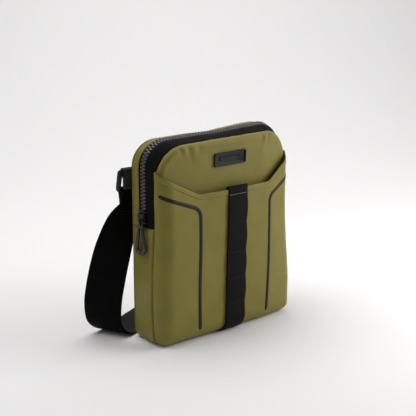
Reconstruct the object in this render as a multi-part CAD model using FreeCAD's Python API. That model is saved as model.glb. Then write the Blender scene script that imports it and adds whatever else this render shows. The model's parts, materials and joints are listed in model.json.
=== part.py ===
import FreeCAD, Part
import math
import os

V = FreeCAD.Vector
os.makedirs("parts", exist_ok=True)

# Crossbody purse. Millimetres, +Z up, +X to the wearer's right, -Y is the front.
# The origin is the middle of the base, on the surface that the bag stands on.

# Driving dimensions of the bag
WIDTH = 176.0
HEIGHT = 201.0
BACK_Y = 26.0            # outside of the back panel
POCKET_Y = -26.0         # outside of the bulged front pocket
PANEL_Y = -17.0          # outside of the front panel, behind the pocket
SEAM_Y = -9.3            # rear edge of the front panels, where they meet the gusset
TOP_RADIUS = 26.0
BASE_RADIUS = 16.0
CLOTH = 1.2
GAP = 0.3
LINING = 0.6
FOAM = 3.0
FOAM_INSET = 3.0
INNER_POCKET = (62.0, 6.0, 112.0)    # half width, foot, mouth
PANEL_INSET = 1.6
PANEL_ROUND = 5.0        # radius of the front panel's rounded rim
POCKET_ROUND = 12.0

# Zip
ZIP_Y = 6.5              # middle of the chain
ZIP_END_Z = 117.0        # lower ends of the tapes
TAPE = 0.8
TAPE_INSET = 0.3
BACK_TAPE_EDGE = 14.4
TOOTH_PITCH = 3.6
TOOTH = (1.9, 2.9, 2.6)  # along the chain, across it, thickness
CHAIN_SLOT = 0.7         # half of the gap between the two rows
FIRST_TOOTH = 4.2        # from the tape's end to the middle of the first tooth
STOP = (2.2, 6.4)        # height and width of a bottom stop
SLIDER_LENGTH = 12.0
SLIDER_HALF = 4.7
SLIDER_CLEAR = 0.4       # between the teeth and each plate
SLIDER_PLATE = 1.4
PULL_RADIUS = 5.7        # round end of the pull's loop
PULL_DROP = 23.0
PULL_CORD = 1.45
LINK_BAR = 0.8
LINK_LEG = 2.9           # from the link's middle to each leg
LINK_REACH = 4.6         # from the pivot to the collar
COLLAR = (3.4, 8.6, 3.2)

# Front details
WEBBING = 25.0
WEBBING_THICK = 1.5
POCKET_EDGE_Z = 147.5    # middle stretch of the pocket's mouth
POCKET_SIDE_Z = 170.0    # where the mouth meets the side seams
POCKET_EDGE_X = 45.5
STRIPE_X = 44.5
STRIPE_WIDTH = 3.8
STRIPE_TURN_Z = 132.6
STRIPE_SIDE_Z = 149.0
BARTACK_Z = (113.0, 84.0, 57.0, 31.0)
BARTACK = (22.0, 2.0, 0.55)
BADGE = (41.0, 15.0)
BADGE_Z = 177.0
BADGE_THICK = 2.1
BADGE_RIM = 1.4

# Strap and its fittings
STRAP = 38.0
STRAP_THICK = 1.6
RING_X = 76.8
RING_WIRE = 1.6          # radius
RING_INNER = (39.0, 16.0)
PIVOT_Y = 29.6
PIVOT_Z = 166.9
RING_TILT = 12.0
RING_CORNER = 2.4
TAB_WIDTH = 37.0
TAB_THICK = 1.4
TAB_FOOT_Z = 149.5
TAB_STITCH_Z = (155.0, 157.2)
DOUBLED = 78.0           # length of the straight doubled run below the right ring
TAIL_LEFT = 26.0
TAIL_STITCHES = (17.0, 22.5)
RUN_TILT = 24.0          # the doubled run leans away from the bag, from the vertical
ADJUSTER_AT = 62.0       # from the right ring's bar to the adjuster's middle
ADJUSTER_HALF = 12.5
ADJUSTER_RAIL = 3.2
ADJUSTER_BAR = (3.0, 1.7)

# The strap's route, from the left ring to the doubled run below the right ring.
# Each key is the middle of the webbing and the direction of its width.
STRAP_KEYS = [
    (-87.0, 37.5, 122.0, -0.99, 0.14, 0.00),
    (-97.5, 39.5, 100.0, -0.96, 0.27, 0.00),
    (-104.0, 41.5, 77.0, -0.88, 0.48, 0.00),
    (-109.0, 43.3, 54.0, -0.76, 0.65, 0.00),
    (-112.0, 44.5, 33.0, -0.64, 0.77, 0.00),
    (-111.0, 43.6, 14.0, -0.50, 0.87, 0.00),
    (-98.5, 44.5, 2.6, -0.42, 0.91, 0.00),
    (-78.0, 52.5, 0.8, -0.41, 0.91, 0.00),
    (-48.0, 66.5, 0.8, -0.41, 0.91, 0.00),
    (-14.0, 83.0, 0.8, -0.43, 0.90, 0.00),
    (22.0, 101.0, 0.8, -0.42, 0.91, 0.00),
    (54.0, 115.5, 1.8, -0.40, 0.92, 0.00),
    (78.0, 123.5, 11.0, -0.45, 0.89, 0.05),
    (90.0, 120.0, 30.0, -0.62, 0.75, 0.20),
    (88.5, 104.0, 50.0, -0.85, 0.45, 0.25),
    (81.0, 84.0, 66.0, -0.97, 0.15, 0.10),
]

HALF = WIDTH / 2


def save(name, *solids):
    shape = solids[0] if len(solids) == 1 else Part.makeCompound(list(solids))
    shape.exportStep(f"parts/{name}.step")
    print(name, len(shape.Solids), round(shape.Volume), shape.isValid())


def unit(v):
    return v * (1.0 / v.Length)


def box(x0, x1, y0, y1, z0, z1):
    return Part.makeBox(x1 - x0, y1 - y0, z1 - z0, V(x0, y0, z0))


def outline(inset):
    """The bag seen from the front, as a wire in the plane y = 0."""
    w = HALF - inset
    top = HEIGHT - inset
    rt = TOP_RADIUS - inset
    rb = BASE_RADIUS - inset
    c = math.sqrt(0.5)
    corners = [(-1, inset, rb, 1), (-1, top, rt, -1), (1, top, rt, -1), (1, inset, rb, 1)]
    edges = []
    ends = []
    for side, z, r, up in corners:
        cx = side * (w - r)
        cz = z + up * r
        flank = V(side * w, 0, cz)
        level = V(cx, 0, z)
        middle = V(cx + side * r * c, 0, cz - up * r * c)
        first, last = (level, flank) if up * side < 0 else (flank, level)
        ends.append((first, last))
        edges.append(Part.Arc(first, middle, last).toShape())
    for i in range(4):
        edges.append(Part.makeLine(ends[i][1], ends[(i + 1) % 4][0]))
    return Part.Wire(Part.__sortEdges__(edges))


def plate(inset, y0, y1):
    face = Part.Face(outline(inset))
    face.translate(V(0, y0, 0))
    return face.extrude(V(0, y1 - y0, 0))


def band(inset, thick, y0, y1):
    return plate(inset, y0, y1).cut(plate(inset + thick, y0 - 1, y1 + 1))


def tray(inset, y_front, radius):
    """A filled tray, closed at the front with a rounded rim."""
    solid = plate(inset, y_front, SEAM_Y)
    rim = [e for e in solid.Edges if abs(e.BoundBox.YMin - y_front) < 1e-6 and e.BoundBox.YLength < 1e-6]
    return solid.makeFillet(radius, rim)


def shell(inset, thick, y_front, radius):
    hollow = tray(inset + thick, y_front + thick, radius - thick)
    back = plate(inset + thick, SEAM_Y - 0.5, SEAM_Y + 1)
    return tray(inset, y_front, radius).cut(hollow).cut(back)


def below(shape, z):
    return shape.common(box(-300, 300, -300, 300, -50, z))


def above(shape, z):
    return shape.common(box(-300, 300, -300, 300, z, 400))


# The chain's path, from the lower left end over the top to the lower right end.
CHAIN_W = HALF - TAPE_INSET - TAPE / 2
CHAIN_TOP = HEIGHT - TAPE_INSET - TAPE / 2
CHAIN_R = TOP_RADIUS - TAPE_INSET - TAPE / 2
RISE = CHAIN_TOP - CHAIN_R - ZIP_END_Z
TURN = math.pi / 2 * CHAIN_R
CHAIN_LENGTH = 2 * RISE + 2 * TURN + 2 * (CHAIN_W - CHAIN_R)
TEETH = round((CHAIN_LENGTH - 2 * FIRST_TOOTH) / TOOTH_PITCH)
PITCH = (CHAIN_LENGTH - 2 * FIRST_TOOTH) / TEETH
FOLD_TOOTH = 3           # the last tooth of the front row below the fold
FOLD_Z = ZIP_END_Z + FIRST_TOOTH + (FOLD_TOOTH + 0.5) * PITCH


def on_chain(s):
    """x, z and heading (degrees from +Z towards +X) at distance s along the chain."""
    if s > CHAIN_LENGTH / 2:
        x, z, heading = on_chain(CHAIN_LENGTH - s)
        return -x, z, 180 - heading
    if s < RISE:
        return -CHAIN_W, ZIP_END_Z + s, 0.0
    if s < RISE + TURN:
        a = (s - RISE) / CHAIN_R
        cx = -CHAIN_W + CHAIN_R
        return cx - CHAIN_R * math.cos(a), CHAIN_TOP - CHAIN_R + CHAIN_R * math.sin(a), math.degrees(a)
    return -CHAIN_W + CHAIN_R + (s - RISE - TURN), CHAIN_TOP, 90.0


def one_tooth(direction):
    """A moulded tooth with a bevelled head, at the origin, reaching from the slot along direction * Y."""
    along, across, thick = TOOTH
    solid = box(-thick / 2, thick / 2, CHAIN_SLOT, CHAIN_SLOT + across, -along / 2, along / 2)
    solid = solid.makeChamfer(0.45, [e for e in solid.Edges if e.BoundBox.YLength < 1e-6])
    if direction < 0:
        solid = solid.mirror(V(0, 0, 0), V(0, 1, 0))
    return solid


def teeth(direction, offset):
    master = one_tooth(direction)
    row = []
    for k in range(TEETH + (0 if offset else 1)):
        x, z, heading = on_chain(FIRST_TOOTH + (k + offset) * PITCH)
        tooth = master.copy()
        tooth.rotate(V(0, 0, 0), V(0, 1, 0), heading)
        tooth.translate(V(x, ZIP_Y, z))
        row.append(tooth)
    return row


def make_back():
    save("back_panel", plate(0, BACK_Y - CLOTH, BACK_Y))
    foam_y = BACK_Y - CLOTH - GAP
    save("back_foam", plate(FOAM_INSET, foam_y - FOAM, foam_y))
    lining_y = foam_y - FOAM - GAP
    save("back_lining", plate(FOAM_INSET, lining_y - LINING, lining_y))
    pocket_y = lining_y - LINING - GAP
    half, foot, mouth = INNER_POCKET
    pocket = plate(FOAM_INSET, pocket_y - LINING, pocket_y)
    save("inner_pocket", pocket.common(box(-half, half, -50, 50, foot, mouth)))


def make_gusset():
    rear = BACK_Y - CLOTH - GAP
    save("lower_gusset", below(band(0, CLOTH, SEAM_Y + GAP, rear), ZIP_END_Z - GAP))
    save("upper_gusset", above(band(0, CLOTH, BACK_TAPE_EDGE + GAP, rear), ZIP_END_Z))
    inside = below(band(CLOTH + GAP, LINING, SEAM_Y + GAP, rear - FOAM - 2), ZIP_END_Z - GAP)
    save("gusset_lining", inside)


def make_zip():
    row_edge = CHAIN_SLOT + TOOTH[1] + 0.1
    save("zip_tape_back", above(band(TAPE_INSET, TAPE, ZIP_Y + row_edge, BACK_TAPE_EDGE), ZIP_END_Z))
    front = above(band(TAPE_INSET, TAPE, SEAM_Y + GAP, ZIP_Y - row_edge), ZIP_END_Z)
    save("zip_tape_front", above(front, FOLD_Z + GAP))
    save("zip_tape_front_ends", *below(front, FOLD_Z - GAP).Solids)
    save("zip_teeth_back", *teeth(1, 0.5))
    row = teeth(-1, 0)
    save("zip_teeth_front", *[t for t in row if t.BoundBox.ZMin > FOLD_Z])
    save("zip_teeth_front_ends", *[t for t in row if t.BoundBox.ZMax < FOLD_Z])
    stops = []
    for side in (-1, 1):
        x = side * CHAIN_W
        high, wide = STOP
        foot = ZIP_END_Z + 0.2
        stops.append(box(x - 1.1, x + 1.1, ZIP_Y - wide / 2, ZIP_Y + wide / 2, foot, foot + high))
    save("zip_stops", *stops)


def make_slider():
    """Two plates over and under the chain, joined by a post in the slot, with a crown that holds the link."""
    low = ZIP_END_Z + STOP[0] + 0.7
    high = low + SLIDER_LENGTH
    outer_x = -CHAIN_W - TOOTH[2] / 2 - SLIDER_CLEAR
    inner_x = -CHAIN_W + TOOTH[2] / 2 + SLIDER_CLEAR
    half = SLIDER_HALF
    outer = box(outer_x - SLIDER_PLATE, outer_x, ZIP_Y - half, ZIP_Y + half, low, high)
    outer = outer.makeFillet(1.8, [e for e in outer.Edges if e.BoundBox.XLength > 1 and e.Length < 2])
    inner = box(inner_x, inner_x + 1.2, ZIP_Y - half, ZIP_Y + half, low, high)
    post = box(outer_x - 0.1, inner_x + 0.1, ZIP_Y - 0.45, ZIP_Y + 0.45, high - 3.0, high - 1.2)
    crown = box(outer_x - 5.0, outer_x - 1.3, ZIP_Y - 1.3, ZIP_Y + 1.3, low + 0.6, high - 1.6)
    nose = [e for e in crown.Edges if e.BoundBox.YLength > 2 and e.CenterOfMass.x < outer_x - 4]
    crown = crown.makeFillet(1.6, nose)
    window = box(outer_x - 4.0, outer_x - 1.4, ZIP_Y - 2, ZIP_Y + 2, low + 1.8, high - 2.8)
    save("zip_slider", outer.fuse([inner, post, crown.cut(window)]).removeSplitter())
    return outer_x - 2.75, low + 3.0    # the middle of the crown's window, where the link turns


def tube(points, radius):
    """A round bar through the points, with a ball at each joint."""
    solids = [Part.makeSphere(radius, p) for p in points[1:-1]]
    for a, b in zip(points, points[1:]):
        solids.append(Part.makeCylinder(radius, (b - a).Length, a, b - a))
    return solids[0].fuse(solids[1:])


def pipe(edges, radius):
    """A round bar along smoothly joined edges."""
    wire = Part.Wire(edges)
    start = edges[0].valueAt(edges[0].FirstParameter)
    heading = edges[0].tangentAt(edges[0].FirstParameter)
    section = Part.Wire(Part.makeCircle(radius, start, heading))
    return wire.makePipeShell([section], True, False)


def rounded_hoop(corners, turn, radius):
    """A closed round bar through four corners, each turned with an arc."""
    bends = []
    for i, corner in enumerate(corners):
        before = unit(corners[i - 1] - corner) * turn
        after = unit(corners[(i + 1) % 4] - corner) * turn
        middle = corner + (before + after) * (1 - math.sqrt(0.5))
        bends.append((corner + before, middle, corner + after))
    edges = []
    for i, bend in enumerate(bends):
        edges.append(Part.Arc(*bend).toShape())
        edges.append(Part.makeLine(bend[2], bends[(i + 1) % 4][0]))
    start = bends[0][2]
    section = Part.Wire(Part.makeCircle(radius, start, bends[1][0] - start))
    return Part.Wire(edges[1:] + edges[:1]).makePipeShell([section], True, False)


def make_pull(pivot_x, pivot_z):
    """The link hangs in the slider's crown, and the moulded loop holds the link's legs in its collar."""
    leg = LINK_LEG
    collar_top = pivot_z - LINK_REACH
    top_left = V(pivot_x, ZIP_Y - leg, pivot_z)
    top_right = V(pivot_x, ZIP_Y + leg, pivot_z)
    foot_left = V(pivot_x, ZIP_Y - leg, collar_top + 0.1)
    foot_right = V(pivot_x, ZIP_Y + leg, collar_top + 0.1)
    save("pull_link", tube([foot_left, top_left, top_right, foot_right], LINK_BAR))

    deep, wide, high = COLLAR
    collar = box(pivot_x - deep / 2, pivot_x + deep / 2, ZIP_Y - wide / 2, ZIP_Y + wide / 2,
                 collar_top - high, collar_top)
    collar = collar.makeFillet(1.0, collar.Edges)
    r = PULL_RADIUS
    cz = collar_top - PULL_DROP
    apex = V(pivot_x, 0, collar_top - 1.6)
    reach = apex.z - cz
    half_top = 2.4
    # tangent from (half_top, reach) to the round end of radius r, in the (y, z) plane of the loop
    dist = math.hypot(half_top, reach)
    base = math.atan2(reach, half_top)
    a = base - math.acos(r / dist)
    edges = []
    right = V(pivot_x, ZIP_Y + r * math.cos(a), cz + r * math.sin(a))
    left = V(pivot_x, ZIP_Y - r * math.cos(a), cz + r * math.sin(a))
    edges.append(Part.makeLine(V(pivot_x, ZIP_Y + half_top, apex.z), right))
    edges.append(Part.Arc(right, V(pivot_x, ZIP_Y, cz - r), left).toShape())
    edges.append(Part.makeLine(left, V(pivot_x, ZIP_Y - half_top, apex.z)))
    save("zip_pull", pipe(edges, PULL_CORD).fuse(collar).removeSplitter())


def mouth_prism():
    """Everything under the pocket's mouth line, seen from the front."""
    line = [(-HALF - 5, -20), (HALF + 5, -20), (HALF + 5, POCKET_SIDE_Z + 1.3), (POCKET_EDGE_X, POCKET_EDGE_Z),
            (-POCKET_EDGE_X, POCKET_EDGE_Z), (-HALF - 5, POCKET_SIDE_Z + 1.3)]
    points = [V(x, -60, z) for x, z in line]
    return Part.Face(Part.makePolygon(points + points[:1])).extrude(V(0, 80, 0))


def make_front():
    panel = shell(PANEL_INSET, CLOTH, PANEL_Y, PANEL_ROUND)
    save("front_panel_lower", below(panel, FOLD_Z - GAP))
    save("front_panel_upper", above(panel, FOLD_Z + GAP))
    behind = CLOTH + GAP
    lining = shell(PANEL_INSET + behind, LINING, PANEL_Y + behind, PANEL_ROUND - behind)
    save("front_lining_lower", below(lining, FOLD_Z - GAP))
    save("front_lining_upper", above(lining, FOLD_Z + GAP))
    pocket = shell(0, CLOTH, POCKET_Y, POCKET_ROUND).common(mouth_prism())
    save("pocket_panel_lower", below(pocket, FOLD_Z - GAP))
    save("pocket_panel_upper", *above(pocket, FOLD_Z + GAP).Solids)


def skin(lift, thick):
    """A layer laid on the pocket panel, lift away from it."""
    outer = tray(-lift - thick, POCKET_Y - lift - thick, POCKET_ROUND + lift + thick)
    return outer.cut(tray(-lift, POCKET_Y - lift, POCKET_ROUND + lift))


def stripe(side):
    """The bonded stripe: up from the base, then out to the side seam."""
    w = STRIPE_WIDTH / 2
    outer_x = HALF - 1.0
    line = [(STRIPE_X - w, 11.0), (STRIPE_X + w, 11.0), (STRIPE_X + w, STRIPE_TURN_Z - 3.0),
            (STRIPE_X + w + 3.6, STRIPE_TURN_Z + 0.4), (outer_x, STRIPE_SIDE_Z - 2.0),
            (outer_x, STRIPE_SIDE_Z + 2.0), (STRIPE_X + 2.6, STRIPE_TURN_Z + 3.4),
            (STRIPE_X - w, STRIPE_TURN_Z - 1.0)]
    points = [V(side * x, -60, z) for x, z in line]
    return Part.Face(Part.makePolygon(points + points[:1])).extrude(V(0, 46, 0))


def make_front_details():
    bonded = skin(0.1, 0.4)
    for side, name in ((-1, "left"), (1, "right")):
        piece = bonded.common(stripe(side))
        save(f"stripe_{name}", below(piece, FOLD_Z - GAP))
        save(f"stripe_{name}_top", above(piece, FOLD_Z + GAP))
    strip = skin(GAP, WEBBING_THICK).common(box(-WEBBING / 2, WEBBING / 2, -60, -12, 0.3, POCKET_EDGE_Z + 1.6))
    save("centre_webbing", below(strip, FOLD_Z - GAP))
    top = above(strip, FOLD_Z + GAP)
    face_y = POCKET_Y - GAP - WEBBING_THICK
    over = box(-WEBBING / 2, WEBBING / 2, face_y, PANEL_Y - 5.0, POCKET_EDGE_Z + GAP, POCKET_EDGE_Z + 1.6)
    inner_y = POCKET_Y + CLOTH + GAP
    tail = box(-WEBBING / 2, WEBBING / 2, inner_y, inner_y + WEBBING_THICK, FOLD_Z + 2.0, POCKET_EDGE_Z + 1.0)
    over = over.common(box(-50, 50, -60, inner_y + WEBBING_THICK, 0, 300))
    save("centre_webbing_top", top.fuse([over, tail]).removeSplitter())
    bars = []
    wide, high, proud = BARTACK
    for z in BARTACK_Z:
        rear = face_y - 0.05
        bars.append(box(-wide / 2, wide / 2, rear - proud, rear, z - high / 2, z + high / 2))
    save("webbing_bartacks", *bars)


def make_badge():
    """A moulded plate with a raised rim and a raised plain bar."""
    rear = PANEL_Y - 0.1
    floor = PANEL_Y - 1.5
    w, h = BADGE
    base = box(-w / 2, w / 2, rear - BADGE_THICK, rear, BADGE_Z - h / 2, BADGE_Z + h / 2)
    base = base.makeFillet(2.4, [e for e in base.Edges if e.BoundBox.YLength > 2])
    w -= 2 * BADGE_RIM
    h -= 2 * BADGE_RIM
    well = box(-w / 2, w / 2, floor - 3, floor, BADGE_Z - h / 2, BADGE_Z + h / 2)
    bar = box(-w * 0.35, w * 0.35, floor - 0.5, floor + 0.1, BADGE_Z - h * 0.14, BADGE_Z + h * 0.14)
    save("badge", base.cut(well).fuse(bar).removeSplitter())


def strap_bar():
    """The ring's lower bar, which the strap is sewn round: y and z at rest."""
    reach = RING_INNER[1] + 2 * RING_WIRE
    tilt = math.radians(RING_TILT)
    return PIVOT_Y + reach * math.sin(tilt), PIVOT_Z - reach * math.cos(tilt)


def make_rings_and_tabs():
    """Each tab is a webbing loop sewn to the back panel. The ring hangs in it and leans away from the bag."""
    w = RING_INNER[0] / 2 + RING_WIRE
    bar_y, bar_z = strap_bar()
    for side, name in ((-1, "left"), (1, "right")):
        x = side * RING_X
        hoop = [V(x - w, PIVOT_Y, PIVOT_Z), V(x + w, PIVOT_Y, PIVOT_Z),
                V(x + w, bar_y, bar_z), V(x - w, bar_y, bar_z)]
        save(f"ring_{name}", rounded_hoop(hoop, RING_CORNER, RING_WIRE))
        x0 = x - TAB_WIDTH / 2
        inner = RING_WIRE + GAP
        loop = Part.makeCylinder(inner + TAB_THICK, TAB_WIDTH, V(x0, PIVOT_Y, PIVOT_Z), V(1, 0, 0))
        eye = Part.makeCylinder(inner, TAB_WIDTH + 2, V(x0 - 1, PIVOT_Y, PIVOT_Z), V(1, 0, 0))
        leg_y = BACK_Y + GAP
        legs = box(x0, x0 + TAB_WIDTH, leg_y, leg_y + 1.9 * TAB_THICK, TAB_FOOT_Z, PIVOT_Z)
        save(f"tab_{name}", loop.fuse(legs).cut(eye).removeSplitter())
        stitch_y = leg_y + 1.9 * TAB_THICK + 0.05
        save(f"tab_stitches_{name}", box(x0 + 2, x0 + TAB_WIDTH - 2, stitch_y, stitch_y + 0.5, *TAB_STITCH_Z))


def sewn_end(side, lean, tail, run, keep_apart=0.95):
    """Webbing round a ring's bar: tail, loop and main layer, in the plane across the bar. Ends run below it."""
    bar_y, bar_z = strap_bar()
    a = math.radians(lean)
    down = V(0, math.sin(a), -math.cos(a))
    rear = V(0, math.cos(a), math.sin(a))
    centre = V(side * RING_X, bar_y, bar_z)
    r = RING_WIRE + GAP + STRAP_THICK / 2
    path = [(tail, -keep_apart), (tail * 0.6, -keep_apart), (14.0, -keep_apart), (9.0, -keep_apart - 0.25),
            (5.0, -keep_apart - 0.9)]
    for k in range(13):
        t = math.radians(-15 + 210 * k / 12)
        path.append((-r * math.sin(t), -r * math.cos(t)))
    path += [(5.0, keep_apart + 0.9), (9.0, keep_apart + 0.25), (14.0, keep_apart)]
    steps = max(1, int((run - 14.0) / 12.0))
    path += [(14.0 + (run - 14.0) * k / steps, keep_apart) for k in range(1, steps + 1)]
    return [centre + down * s + rear * h for s, h in path]


def spline(keys, per_span):
    """Catmull-Rom through six-number keys."""
    out = []
    for i in range(1, len(keys) - 2):
        p0, p1, p2, p3 = keys[i - 1:i + 3]
        for k in range(per_span):
            t = k / per_span
            out.append([0.5 * (2 * b + (c - a) * t + (2 * a - 5 * b + 4 * c - d) * t * t
                               + (3 * b - a - 3 * c + d) * t ** 3) for a, b, c, d in zip(p0, p1, p2, p3)])
    out.append(list(keys[-2]))
    return out


def strap_stations():
    left = sewn_end(-1, 0.0, TAIL_LEFT, 14.0)
    right = sewn_end(1, RUN_TILT, DOUBLED, DOUBLED)
    right.reverse()
    level = (-1.0, 0.0, 0.0)
    lead_in = [(*p, *level) for p in left[-2:]]
    lead_out = [(*p, *level) for p in right[:2]]
    middle = spline(lead_in + STRAP_KEYS + lead_out, 5)
    stations = [(p, V(*level)) for p in left[:-1]]
    stations += [(V(*m[:3]), unit(V(*m[3:]))) for m in middle]
    stations += [(p, V(*level)) for p in right[1:]]
    return stations


def ribbon(stations, width, thick):
    """Flat webbing through the stations, as a closed solid of small flat faces."""
    corners = []
    for i, (p, across) in enumerate(stations):
        ahead = unit(stations[min(i + 1, len(stations) - 1)][0] - stations[max(i - 1, 0)][0])
        across = unit(across - ahead * across.dot(ahead))
        normal = ahead.cross(across)
        side = across * (width / 2)
        face = normal * (thick / 2)
        corners += [p - side - face, p + side - face, p + side + face, p - side + face]
    facets = []
    for i in range(len(stations) - 1):
        for k in range(4):
            a, b = 4 * i + k, 4 * i + (k + 1) % 4
            facets += [(a, b, b + 4), (a, b + 4, a + 4)]
    last = 4 * (len(stations) - 1)
    facets += [(0, 2, 1), (0, 3, 2), (last, last + 1, last + 2), (last, last + 2, last + 3)]
    faces = []
    for f in facets:
        points = [corners[i] for i in f]
        faces.append(Part.Face(Part.makePolygon(points + points[:1])))
    hull = Part.makeShell(faces)
    hull.sewShape()
    solid = Part.makeSolid(Part.Shell(hull.Faces))
    if solid.Volume < 0:
        solid.reverse()
    return solid


def make_strap():
    stations = strap_stations()
    length = sum((b[0] - a[0]).Length for a, b in zip(stations, stations[1:]))
    solid = ribbon(stations, STRAP, STRAP_THICK)
    print("strap length", round(length), "volume against section times length",
          round(solid.Volume / (length * STRAP * STRAP_THICK), 3))
    save("strap_webbing", solid)


def in_run(solid, s):
    """Places a piece made at the origin (x across, z down the run, y to the rear) on the right doubled run."""
    bar_y, bar_z = strap_bar()
    solid.rotate(V(0, 0, 0), V(1, 0, 0), 180.0 + RUN_TILT)
    a = math.radians(RUN_TILT)
    solid.translate(V(RING_X, bar_y + s * math.sin(a), bar_z - s * math.cos(a)))
    return solid


def make_adjuster():
    """Slide with three bars. Both layers of webbing run under the outer bars and over the middle one."""
    rail = STRAP / 2 + 2 * GAP
    low = 1.75 + GAP         # half of the doubled webbing, and clearance
    wide, deep = ADJUSTER_BAR
    parts = []
    for side in (-1, 1):
        x0, x1 = sorted((side * rail, side * (rail + ADJUSTER_RAIL)))
        parts.append(box(x0, x1, -low - deep, low + deep, -ADJUSTER_HALF, ADJUSTER_HALF))
    outer = ADJUSTER_HALF - wide / 2
    for z, h in ((-outer, -low - deep), (outer, -low - deep), (0.0, low)):
        parts.append(box(-rail - 1, rail + 1, h, h + deep, z - wide / 2, z + wide / 2))
    frame = parts[0].fuse(parts[1:]).removeSplitter()
    save("strap_adjuster", in_run(frame, ADJUSTER_AT))


def make_strap_stitches():
    """Stitch rows through the sewn end at the left ring, on the side that faces the bag."""
    bar_y, bar_z = strap_bar()
    rows = []
    y = bar_y - 0.95 - STRAP_THICK / 2 - 0.5
    for s in TAIL_STITCHES:
        rows.append(box(-RING_X - 16, -RING_X + 16, y, y + 0.45, bar_z - s - 0.7, bar_z - s + 0.7))
    save("strap_stitches", *rows)


if __name__ == "__main__":
    make_back()
    make_gusset()
    make_zip()
    make_pull(*make_slider())
    make_front()
    make_front_details()
    make_badge()
    make_rings_and_tabs()
    make_strap()
    make_adjuster()
    make_strap_stitches()
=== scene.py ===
import json
import math
import bmesh
import bpy
from mathutils import Matrix, Vector, noise


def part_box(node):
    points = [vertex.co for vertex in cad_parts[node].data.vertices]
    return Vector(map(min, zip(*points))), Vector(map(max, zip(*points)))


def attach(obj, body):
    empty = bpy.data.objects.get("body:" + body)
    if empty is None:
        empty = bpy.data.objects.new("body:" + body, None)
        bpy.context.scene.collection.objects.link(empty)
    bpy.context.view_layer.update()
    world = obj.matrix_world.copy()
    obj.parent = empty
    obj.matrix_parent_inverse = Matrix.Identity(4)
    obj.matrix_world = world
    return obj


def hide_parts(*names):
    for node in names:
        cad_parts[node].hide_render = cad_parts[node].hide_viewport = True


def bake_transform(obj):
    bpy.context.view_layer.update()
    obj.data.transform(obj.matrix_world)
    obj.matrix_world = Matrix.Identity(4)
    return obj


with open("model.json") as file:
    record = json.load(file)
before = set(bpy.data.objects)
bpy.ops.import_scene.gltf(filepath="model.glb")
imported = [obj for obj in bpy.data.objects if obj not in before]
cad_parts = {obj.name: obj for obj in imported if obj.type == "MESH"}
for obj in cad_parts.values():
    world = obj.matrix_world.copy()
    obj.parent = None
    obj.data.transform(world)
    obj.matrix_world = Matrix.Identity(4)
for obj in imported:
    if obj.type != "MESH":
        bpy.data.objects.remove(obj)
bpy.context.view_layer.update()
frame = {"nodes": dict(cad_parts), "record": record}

mm = 0.001


# ---------------------------------------------------------------- studio
# A pale seamless paper sweep, a near key light at the right, a broad light above, a fill behind the left
# and a light on the paper. The camera stands to the left front of the bag, a little above it.
CAMERA_TURN = math.radians(-40.0)
CAMERA_DIP = math.radians(12.94)
CAMERA_PLACE = (-0.519, -0.602, 0.305)
WALL = 1.3
SWEEP_SIZE = 3.0
SWEEP_BEND = 0.8


def studio_sweep():
    bm = bmesh.new()
    bmesh.ops.create_grid(bm, x_segments=1, y_segments=1, size=SWEEP_SIZE)
    bmesh.ops.translate(bm, verts=bm.verts, vec=(0, WALL - SWEEP_SIZE, 0))
    far = [e for e in bm.edges if all(v.co.y > WALL - 0.1 for v in e.verts)]
    for v in bmesh.ops.extrude_edge_only(bm, edges=far)["geom"]:
        if isinstance(v, bmesh.types.BMVert):
            v.co.z += SWEEP_SIZE
    fold = [e for e in bm.edges if all(v.co.y > WALL - 0.1 and abs(v.co.z) < 0.01 for v in e.verts)]
    bmesh.ops.bevel(bm, geom=fold, offset=SWEEP_BEND, segments=16, profile=0.5, affect="EDGES", material=-1)
    bmesh.ops.rotate(bm, verts=bm.verts, cent=(0, 0, 0), matrix=Matrix.Rotation(CAMERA_TURN, 3, "Z"))
    mesh = bpy.data.meshes.new("sweep")
    bm.to_mesh(mesh)
    bm.free()
    for face in mesh.polygons:
        face.use_smooth = True
    sweep = bpy.data.objects.new("sweep", mesh)
    bpy.context.collection.objects.link(sweep)
    paper = bpy.data.materials.new("sweep_paper")
    paper.use_nodes = True
    shader = paper.node_tree.nodes["Principled BSDF"]
    shader.inputs["Base Color"].default_value = (0.93, 0.92, 0.915, 1)
    shader.inputs["Roughness"].default_value = 0.9
    shader.inputs["Specular IOR Level"].default_value = 0.1
    mesh.materials.append(paper)


def soft_light(name, place, target, size, power):
    light = bpy.data.lights.new(name, "AREA")
    light.shape = "RECTANGLE"
    light.size = size[0]
    light.size_y = size[1]
    light.energy = power
    obj = bpy.data.objects.new(name, light)
    obj.location = place
    obj.rotation_euler = (Vector(place) - Vector(target)).to_track_quat("Z", "Y").to_euler()
    bpy.context.collection.objects.link(obj)


def studio_camera():
    camera = bpy.data.cameras.new("camera")
    camera.lens = 70.0
    camera.sensor_width = 36.0
    camera.clip_start = 0.01
    obj = bpy.data.objects.new("camera", camera)
    obj.location = CAMERA_PLACE
    back = Vector((math.sin(CAMERA_TURN), -math.cos(CAMERA_TURN), math.tan(CAMERA_DIP)))
    obj.rotation_euler = back.to_track_quat("Z", "Y").to_euler()
    bpy.context.collection.objects.link(obj)
    bpy.context.scene.camera = obj


studio_sweep()
studio_camera()
middle = (0.0, 0.0, 0.1)
soft_light("key_right", (0.60, -0.40, 0.42), middle, (0.55, 0.55), 4.3)
soft_light("top", (-0.30, 0.35, 1.2), middle, (1.1, 1.0), 6.8)
soft_light("fill_left", (-0.85, 0.35, 0.95), middle, (0.7, 0.7), 1.5)
soft_light("backdrop", (0.45, 0.55, 1.5), (0.75, 0.9, 0.35), (1.8, 0.8), 8.2)
world = bpy.data.worlds.new("studio")
world.use_nodes = True
world.node_tree.nodes["Background"].inputs["Color"].default_value = (0.95, 0.95, 0.97, 1)
world.node_tree.nodes["Background"].inputs["Strength"].default_value = 0.15
bpy.context.scene.world = world
bpy.context.scene.view_settings.view_transform = "Standard"


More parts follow.
